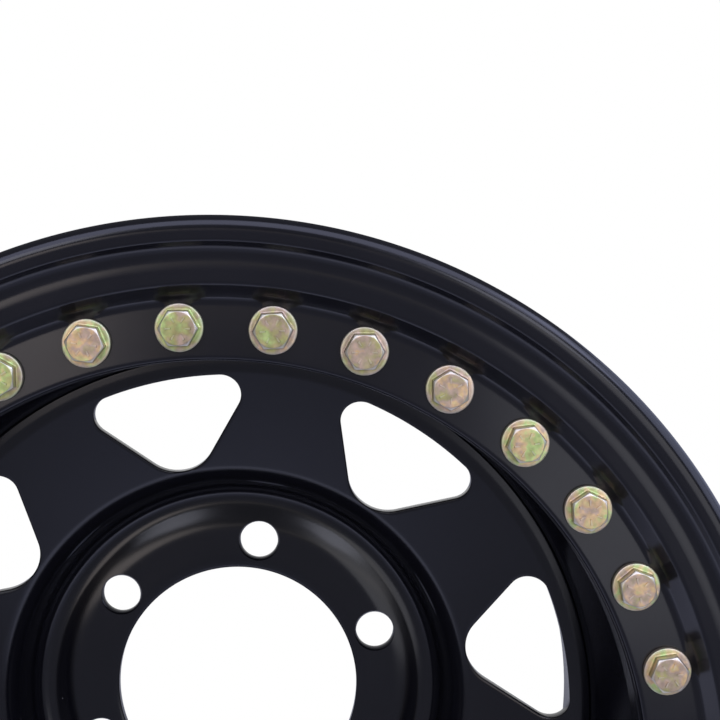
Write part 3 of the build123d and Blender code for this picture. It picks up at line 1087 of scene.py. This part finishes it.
@dataclass
class ClampBolts:
    """Hex flange bolts round the clamp ring, each turned as it was tightened.

    Attributes:
        turns: A hex corner's angle at each bolt of a group, rightwards from the first.
        turn_shift: How far the next group of bolts is turned on.
        films: Where the top of each bolt in a group stands on the chromate film's colours.
        flange_films: The same for the flanges.
        film_shift: How far the next group moves on.
        thin_film_and_highlight_shares: How pale the flange's rim, the crown's edge and the marks are made, by
            a thinner film and a painted highlight.
    """

    shared: Levels
    half_flats: float = 6.5
    corner_round: float = 0.45
    head_height: float = 8.0
    crown_radius: float = 6.2
    crown_angle: float = 30.0
    flange_radius: float = 9.2
    flange_edge: float = 2.6
    flange_slope: float = 2.0
    flange_round: float = 0.5
    foot_fillet: float = 0.6
    edge_ease: float = 0.14
    shank_radius: float = 4.0
    tip_chamfer: float = 0.8
    tip_length: float = 1.0
    seat_ease: float = 0.3
    top_rows: Point = (0.0, 1.5)
    top_edges: Point = (5.6, 6.08)
    crown_shares: tuple[float, ...] = (0.05, 0.5, 1.0)
    side_shares: tuple[float, ...] = (0.0, 0.12, 0.88, 1.0)
    corner_share: float = 0.3
    foot_turns: Point = (30, 60)
    foot_lean: float = 0.2
    flange_shares: Point = (0.3, 1.0)
    rim_turns: tuple[float, ...] = (35, 65, 90)
    column_offsets: tuple[float, ...] = (0, 0.9, 1.9, 4.2, 5.6, 12, 20, 30, 40, 48, 54.4, 55.8, 58.1, 59.1)
    mark_rows: tuple[float, ...] = (2.5, 2.65, 4.0, 4.75, 4.9)
    mark_height: float = 0.42
    mark_angles: Point = (4.2, 5.6)
    turns: tuple[float, ...] = (52, 0, 3, 0, 31, 8, 34, 40)
    turn_shift: float = 17.0
    films: tuple[float, ...] = (0.15, 0.62, 0.57, 0.42, 0.3, 0.0, 0.08, 0.33)
    flange_films: tuple[float, ...] = (0.95, 0.65, 0.48, 0.52, 0.36, 0.98, 1.03, 1.1)
    film_shift: float = 0.18
    film_fade: float = 0.8
    # Shares of paler colour at rim, crown edge and marks: partly a thinner film, partly a painted highlight.
    thin_film_and_highlight_shares: tuple[float, ...] = (0.45, 0.8, 0.3)
    thin_film_and_highlight_rim: float = 0.75
    rim_fade: float = 0.35
    rim_foot: float = 0.2
    crown_fade: float = 0.2
    crown_foot: float = 6.0

    @staticmethod
    def from_corner(angles: Array) -> Array:
        """Measure how far bearings in radians lie from the hexagon's nearest corner."""
        return np.abs((angles + SIXTH / 2) % SIXTH - SIXTH / 2)

    def hexagon(self, angles: Array) -> Array:
        """Find the hexagon's radius at given angles from a corner, with the corners rounded.

        A side stands at half_flats / cos(d), with d from the side's middle. A corner is a circle about a
        point on the corner's line, whose far crossing with the bearing is taken.

        Args:
            angles: Bearings in radians.

        Returns:
            Radii.
        """
        from_corner = self.from_corner(angles)
        side = self.half_flats / np.cos(SIXTH / 2 - from_corner)
        centre = (self.half_flats - self.corner_round) / np.cos(SIXTH / 2)
        across = centre * np.sin(from_corner)
        inside = np.sqrt(np.maximum(self.corner_round**2 - across**2, 0))
        corner = centre * np.cos(from_corner) + inside
        tangent = np.arctan2(self.corner_round * np.sin(SIXTH / 2),
                             centre + self.corner_round * np.cos(SIXTH / 2))
        return np.where(from_corner < tangent, corner, side)

    def marks(self, radii: Array, angles: Array) -> Array:
        """Raise plain radial dashes towards the corners of the head, with short slopes all round.

        Args:
            radii: Radii of the top's rows.
            angles: Bearings of its columns, in radians.

        Returns:
            Heights above the top, rows by columns.
        """
        across = np.interp(np.degrees(self.from_corner(angles)), self.mark_angles, (1.0, 0.0))
        along = np.interp(radii, [self.mark_rows[i] for i in (0, 1, -2, -1)], (0.0, 1.0, 1.0, 0.0))
        return self.mark_height * along[:, None] * across[None, :]

    def head(self) -> tuple[Array, Array, Array]:
        """Work out one bolt standing on its flange, as rows of radius and height by columns of bearing.

        From the middle outwards the rows cover the top with its marks, the crown's cone cut by the hexagon,
        the six sides, a fillet, the flange's slope and rounded edge, the seat under it, and the shank.

        Returns:
            Radii, heights and bearings on one grid.
        """
        angles = np.append((SIXTH * np.arange(6)[:, None] + np.radians(self.column_offsets)).ravel(), 2 * pi)
        hexagon = self.hexagon(angles)

        def crown(at: Array) -> Array:
            """Height of the crown's cone at a radius."""
            return self.head_height - np.maximum(at - self.crown_radius, 0) * tan(radians(self.crown_angle))

        def flange(at: float | Array) -> float | Array:
            """Height of the flange's slope at a radius."""
            return self.flange_edge + (self.flange_radius - at) * tan(radians(self.flange_slope))

        top = np.array([*self.top_rows, *self.mark_rows, *self.top_edges])
        rows = list(zip(top, self.head_height + self.marks(top, angles)))
        ease = self.edge_ease
        for share in self.crown_shares:
            at = self.crown_radius + (hexagon - ease - self.crown_radius) * share
            rows.append((at, crown(at)))
        rows.append((hexagon - self.corner_share * ease, crown(hexagon) - self.corner_share * ease))
        side_top = crown(hexagon) - ease
        side_foot = flange(hexagon) + self.foot_fillet
        rows += [(hexagon, side_top + (side_foot - side_top) * share) for share in self.side_shares]
        for turn in map(radians, self.foot_turns):
            bend = self.foot_fillet * (1 - np.cos(turn))
            rows.append((hexagon + bend, side_foot - self.foot_fillet * np.sin(turn) + bend * self.foot_lean))
        foot = hexagon + self.foot_fillet
        rim = self.flange_radius - self.flange_round
        for share in (0.0, *self.flange_shares):
            at = foot + (rim - hexagon - self.foot_fillet) * share
            rows.append((at, flange(at)))
        rim_height = flange(rim) - self.flange_round
        rows += [(rim + self.flange_round * np.sin(turn), rim_height + self.flange_round * np.cos(turn))
                 for turn in map(radians, self.rim_turns)]
        shared = self.shared
        length = shared.ring_wall + shared.lock_land + shared.lock_flange + self.tip_length
        rows += [(self.flange_radius, self.seat_ease), (self.flange_radius - self.seat_ease, 0.0),
                 (self.shank_radius, 0.0), (self.shank_radius, self.tip_chamfer - length),
                 (self.shank_radius - self.tip_chamfer, -length), (0.0, -length)]
        radii, heights = (np.array([np.broadcast_to(value, angles.shape) for value in values])
                          for values in zip(*rows))
        return radii, heights, np.broadcast_to(angles, radii.shape)

    def build(self) -> bpy.types.Object:
        """Stand the bolts on their circle, each turned by its own angle, and mark each with its film's start.

        Returns:
            All bolts as one object with the point attributes film and thin_film_and_highlight, whose paler
            edges are partly a thinner film and partly a painted highlight.
        """
        shared = self.shared
        radii, heights, bearings = self.head()
        number = np.arange(shared.bolt_count)
        group, member = number // len(self.turns), number % len(self.turns)
        turns = np.radians(np.array(self.turns)[member] + self.turn_shift * group)
        seats = np.radians(shared.bolt_angle) - 2 * pi / shared.bolt_count * number
        facing = bearings + turns[:, None, None]
        seat_x, seat_z = shared.bolt_circle_radius * np.cos(seats), shared.bolt_circle_radius * np.sin(seats)
        x = seat_x[:, None, None] + radii * np.cos(facing)
        z = seat_z[:, None, None] + radii * np.sin(facing)
        work = Patchwork()
        work.add(MM * np.stack([x, np.broadcast_to(shared.land - heights, x.shape), z], axis=-1))
        piece = work.build("clamp_bolts_set")
        x, y, z = points_of(piece).T / MM
        turned = (radians(shared.bolt_angle) - np.arctan2(z, x)) / (2 * pi / shared.bolt_count)
        nearest = np.round(turned).astype(int) % shared.bolt_count
        film, flange_film = ((np.array(steps)[member] + self.film_shift * group)[nearest]
                             for steps in (self.films, self.flange_films))
        off_axis = np.hypot(x - seat_x[nearest], z - seat_z[nearest])
        height = shared.land - y
        on_flange = np.clip((self.head_height / 2 - height) / self.film_fade, 0, 1)
        # Paler at the flange's rim, the crown's edge and the marks: partly a thinner film, partly a painted
        # highlight.
        on_rim = np.clip((off_axis - self.flange_radius + self.thin_film_and_highlight_rim) / self.rim_fade, 0, 1)
        on_crown = np.clip((off_axis - self.crown_radius) / self.crown_fade, 0, 1)
        on_marks = np.clip((height - self.head_height) / self.mark_height, 0, 1)
        places = np.array([on_rim * (height > self.rim_foot), on_crown * (height > self.crown_foot), on_marks])
        values = {"film": film * (1 - on_flange) + flange_film * on_flange,
                  "thin_film_and_highlight": np.max(np.array(self.thin_film_and_highlight_shares)[:, None] * places, axis=0)}
        for name, value in values.items():
            attribute = piece.data.attributes.new(name, "FLOAT", "POINT")
            attribute.data.foreach_set("value", value.astype(np.float32))
        return piece


@dataclass
class WeldBead:
    """A fillet weld laid once round the wheel in the corner between two pieces.

    Attributes:
        name: Name of the piece.
        corner: Radius and level of the corner that the weld fills.
        legs: Directions of the two legs from the corner, as signs of radius and level.
        leg: Length of each leg.
        pitch: Distance from one ripple to the next.
        across: Steps from one leg's end to the other's.
        steps_per_ripple: Steps along one ripple.
        bulge: Height of the bulge and of the ripple on it, as shares of a leg.
        lag: How far a ripple bows back in the middle, as a share of the pitch.
        swell: How much the legs grow and shrink along the weld, as a share.
        swell_length: Distance from one swell of the legs to the next.
    """

    name: str
    corner: Point
    legs: tuple[int, int]
    leg: float
    pitch: float = 4.0
    across: int = 8
    steps_per_ripple: int = 5
    bulge: Point = (0.34, 0.07)
    lag: float = 0.45
    swell: float = 0.05
    swell_length: float = 23.0

    def build(self) -> bpy.types.Object:
        """Carry a bulged fillet round the corner, with ripples that bow back across it.

        Across the weld a point is the mean of the two legs' ends by share v, pushed out by a sine bulge.
        Along it the bulge swells and falls by a saw-like ripple, which lags in the middle. Whole numbers of
        ripples and of swells close the ring.

        Returns:
            The weld.
        """
        length = 2 * pi * self.corner[0]
        ripples, swells = int(length / self.pitch), round(length / self.swell_length)
        along = np.linspace(0, 1, ripples * self.steps_per_ripple + 1)[:, None]
        v = np.linspace(0, 1, self.across + 1)[None, :]
        ripple = ((along * ripples + self.lag * np.sin(pi * v)) % 1.0) ** 2
        bulge = np.sin(pi * v) * (self.bulge[0] + self.bulge[1] * ripple)
        out = self.leg * (1 + self.swell * np.sin(2 * pi * swells * along))
        ends = np.zeros_like(along)
        radius = self.corner[0] + self.legs[0] * np.hstack([ends, out * (1 - v + bulge), ends])
        level = self.corner[1] + self.legs[1] * np.hstack([ends, out * (v + bulge), ends])
        work = Patchwork()
        work.add(lift(radius, level, 2 * pi * (along - 0.5)))
        return work.build(self.name)


@dataclass(frozen=True)
class Softbox:
    """A soft studio light: a rectangle that looks at a point of the wheel.

    Attributes:
        name: Name of the light.
        place: Where it stands, in metres.
        aim: The point it looks at, in metres.
        size: Its width and height, in metres.
        radiance: How bright its face is, where 1 is white.
        colour: Its colour.
    """

    name: str
    place: Place
    aim: Place
    size: tuple[float, float]
    radiance: float
    colour: str

    def build(self) -> None:
        """Add the light. A face of area A and radiance L gives off pi A L watts."""
        lamp = bpy.data.lights.new(self.name, "AREA")
        lamp.shape = "RECTANGLE"
        lamp.size, lamp.size_y = self.size
        lamp.energy = pi * self.size[0] * self.size[1] * self.radiance
        lamp.color = linear(self.colour)[:3]
        stand = bpy.data.objects.new(self.name, lamp)
        stand.location = self.place
        stand.rotation_euler = (Vector(self.aim) - Vector(self.place)).to_track_quat("-Z", "Y").to_euler()
        stand.visible_camera = False
        bpy.context.scene.collection.objects.link(stand)


@dataclass
class Studio:
    """The pale floor, the white backdrop, the soft lights and the camera.

    Attributes:
        floor_colour: The floor's paint as the camera sees it.
        floor_mirrored: The same as the wheel's reflections and the light see it.
        floor_tint: Colour of the light from the floor's far part.
        floor_glow: Strength of that light.
        shadow_reach: Distances from the wheel between which the paint goes over into the backdrop.
        floor_behind: Distances behind the wheel between which reflections begin to show the backdrop.
        room_front: Brightness of the room on the photographer's side.
        room_back: Brightness of the room's other side.
        room_turn: How far back a direction points where the one goes over into the other.
        room_behind: How far back it points where reflections begin to show the backdrop.
        mirrored_backdrop: How white the backdrop is in reflections.
        mirrored_floor: How white the floor behind the wheel is in reflections.
    """

    floor_size: float = 14.0
    floor_lines: int = 9
    floor_colour: str = "#f0ebde"
    floor_mirrored: str = "#d8dae4"
    floor_tint: str = "#e2e5ff"
    floor_glow: float = 0.38
    shadow_reach: Point = (0.3, 0.62)
    floor_behind: Point = (0.1, 0.6)
    room_colour: str = "#eef0ff"
    room_front: float = 0.22
    room_back: float = 0.28
    room_turn: Point = (-1.0, 0.2)
    room_behind: Point = (0.75, 0.95)
    mirrored_backdrop: float = 0.75
    mirrored_floor: float = 0.15
    camera_place: Place = (0.04499, -0.75385, 0.21734)
    camera_aim: Place = (0.01740, 0.99629, -0.08431)
    lens: float = 80.0
    sensor: float = 36.0
    lights: tuple[Softbox, ...] = (
        Softbox("overhead_softbox", (0.25, -1.25, 1.5), (0.0, -0.1, 0.15), (3.1, 1.1), 2.6, "#d7dbff"),
        Softbox("right_high_softbox", (1.55, -0.78, 0.95), (0.1, -0.1, 0.1), (1.1, 1.4), 2.2, "#d0d8ff"),
        Softbox("right_back_softbox", (1.4, 0.3, 0.62), (0.1, -0.1, 0.1), (1.2, 1.0), 1.7, "#ccd6ff"),
        Softbox("left_softbox", (-0.63, -1.58, 0.12), (0.0, -0.1, 0.1), (0.8, 0.36), 1.95, "#fff3ef"),
        Softbox("right_softbox", (0.465, -1.1, 0.06), (0.0, -0.1, 0.1), (0.55, 0.56), 1.2, "#f8f8ff"),
        Softbox("left_upper_softbox", (-0.55, -1.4, 0.68), (0.0, -0.1, 0.1), (0.45, 0.42), 3.4, "#eceeff"),
        Softbox("right_upper_softbox", (0.6, -1.4, 0.6), (0.0, -0.1, 0.1), (0.45, 0.42), 3.4, "#eceeff"),
        Softbox("far_strip", (0.0, -1.75, 0.18), (0.0, -0.1, 0.18), (2.4, 0.16), 0.42, "#fff4ee"),
        Softbox("low_strip", (0.0, -0.225, -0.205), (0.0, -0.2, 0.2), (1.6, 0.07), 0.9, "#dfe2ff"),
    )

    @staticmethod
    def backdrop_share(tree: bpy.types.NodeTree, backwards: bpy.types.NodeSocket) -> bpy.types.NodeSocket:
        """Find where a ray shows the white backdrop: for the camera anywhere, for reflections at the back.

        Args:
            tree: The node tree to add to.
            backwards: How far a point or direction lies behind the wheel, 1 for well behind.

        Returns:
            The share of white.
        """
        path = add_node(tree, "ShaderNodeLightPath")
        seen = add_node(tree, "ShaderNodeMath", {"operation": "MAXIMUM"}, {
            0: path.outputs["Is Camera Ray"], 1: path.outputs["Is Transmission Ray"]})
        mirrored = add_node(tree, "ShaderNodeMath", {"operation": "MULTIPLY"}, {
            0: path.outputs["Is Glossy Ray"], 1: backwards})
        return add_node(tree, "ShaderNodeMath", {"operation": "MAXIMUM"}, {
            0: seen.outputs[0], 1: mirrored.outputs[0]}).outputs[0]

    def floor(self) -> None:
        """Add the floor that the wheel stands on. Away from the wheel it goes over into the backdrop."""
        side = np.linspace(-0.5, 0.5, self.floor_lines) * self.floor_size
        x, y = np.meshgrid(side, side, indexing="ij")
        work = Patchwork()
        work.add(np.stack([x, y, np.full_like(x, CAD_BOX[0].z)], axis=-1))
        ground = work.build("studio_floor")
        ground.data.flip_normals()
        made = bpy.data.materials.new("pale_painted_floor")
        tree = fresh_tree(made)
        place = add_node(tree, "ShaderNodeTexCoord").outputs["Object"]
        parts = add_node(tree, "ShaderNodeSeparateXYZ", inputs={"Vector": place})
        behind = add_node(tree, "ShaderNodeMapRange", inputs={
            "Value": parts.outputs["Y"], **span("From", self.floor_behind), "To Max": self.mirrored_floor})
        distance = add_node(tree, "ShaderNodeVectorMath", {"operation": "LENGTH"}, {0: place})
        far = add_node(tree, "ShaderNodeMapRange", {"interpolation_type": "SMOOTHSTEP"}, {
            "Value": distance.outputs["Value"], **span("From", self.shadow_reach)})
        white = self.backdrop_share(tree, behind.outputs["Result"])
        light = add_node(tree, "ShaderNodeMapRange", inputs={"Value": white, "To Min": self.floor_glow})
        tint = add_node(tree, "ShaderNodeMix", {"data_type": "RGBA"}, {
            "Factor": white, MIX_FIRST: linear(self.floor_tint), MIX_SECOND: WHITE})
        path = add_node(tree, "ShaderNodeLightPath")
        shade = add_node(tree, "ShaderNodeMix", {"data_type": "RGBA"}, {
            "Factor": path.outputs["Is Camera Ray"], MIX_FIRST: linear(self.floor_mirrored),
            MIX_SECOND: linear(self.floor_colour)})
        paint = add_node(tree, "ShaderNodeBsdfDiffuse", inputs={"Color": shade.outputs[MIX_RESULT]})
        glow = add_node(tree, "ShaderNodeEmission", inputs={
            "Color": tint.outputs[MIX_RESULT], "Strength": light.outputs["Result"]})
        mixed = add_node(tree, "ShaderNodeMixShader", inputs={
            0: far.outputs["Result"], 1: paint.outputs["BSDF"], 2: glow.outputs["Emission"]})
        add_node(tree, "ShaderNodeOutputMaterial", inputs={"Surface": mixed.outputs["Shader"]})
        ground.data.materials.append(made)

    def room(self) -> None:
        """Make the room: white behind the wheel and where the camera looks, dim on the photographer's side."""
        world = bpy.data.worlds.new("studio_room")
        bpy.context.scene.world = world
        tree = fresh_tree(world)
        direction = add_node(tree, "ShaderNodeTexCoord").outputs["Generated"]
        parts = add_node(tree, "ShaderNodeSeparateXYZ", inputs={"Vector": direction})
        behind, light = (add_node(tree, "ShaderNodeMapRange", {"interpolation_type": "SMOOTHSTEP"}, {
            "Value": parts.outputs["Y"], **span("From", reach), **span("To", limits)}).outputs["Result"]
            for reach, limits in ((self.room_behind, (0.0, self.mirrored_backdrop)),
                                  (self.room_turn, (self.room_front, self.room_back))))
        walls = add_node(tree, "ShaderNodeBackground", inputs={
            "Color": linear(self.room_colour), "Strength": light})
        backdrop = add_node(tree, "ShaderNodeBackground", inputs={"Color": WHITE, "Strength": 1.0})
        mixed = add_node(tree, "ShaderNodeMixShader", inputs={
            0: self.backdrop_share(tree, behind), 1: walls.outputs["Background"],
            2: backdrop.outputs["Background"]})
        add_node(tree, "ShaderNodeOutputWorld", inputs={"Surface": mixed.outputs["Shader"]})

    def camera(self) -> None:
        """Place the camera in front of the wheel, a little above its axis and looking slightly down."""
        data = bpy.data.cameras.new("front_camera")
        data.lens = self.lens
        data.sensor_width = self.sensor
        stand = bpy.data.objects.new("front_camera", data)
        stand.location = self.camera_place
        stand.rotation_euler = Vector(self.camera_aim).to_track_quat("-Z", "Y").to_euler()
        bpy.context.scene.collection.objects.link(stand)
        bpy.context.scene.camera = stand

    def build(self) -> None:
        """Set up the whole studio."""
        bpy.context.scene.view_settings.view_transform = "Standard"
        self.floor()
        self.room()
        for light in self.lights:
            light.build()
        self.camera()


def main() -> None:
    """Build the wheel's pieces in order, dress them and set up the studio."""
    logging.basicConfig(level=logging.INFO, format="%(name)s: %(message)s")
    shared = Levels()
    coat = PowderCoat().material()
    zinc = YellowZinc().material()
    settle(WheelDisc(shared, Window()).build(), coat, Slot.BLACK_PAINT, "wheel_disc")
    settle(RimBarrel(shared).build(), coat, Slot.BLACK_PAINT, "rim_barrel")
    settle(LockRing(shared).build(), coat, Slot.BLACK_PAINT, "lock_ring")
    settle(ClampRing(shared).build(), coat, Slot.BLACK_PAINT, "clamp_ring")
    settle(ClampBolts(shared).build(), zinc, Slot.YELLOW_ZINC, "clamp_bolts")
    disc_corner = (shared.well_inside + shared.weld_bite, shared.skirt_end)
    disc_weld = WeldBead("disc_weld", disc_corner, legs=(-1, 1), leg=4.5)
    settle(disc_weld.build(), coat, Slot.BLACK_PAINT)
    lock_weld = WeldBead("lock_weld", (shared.bead_seat_radius, shared.lock_back), legs=(1, 1), leg=5.0)
    settle(lock_weld.build(), coat, Slot.BLACK_PAINT)
    Studio().build()


if __name__ == "__main__":
    main()
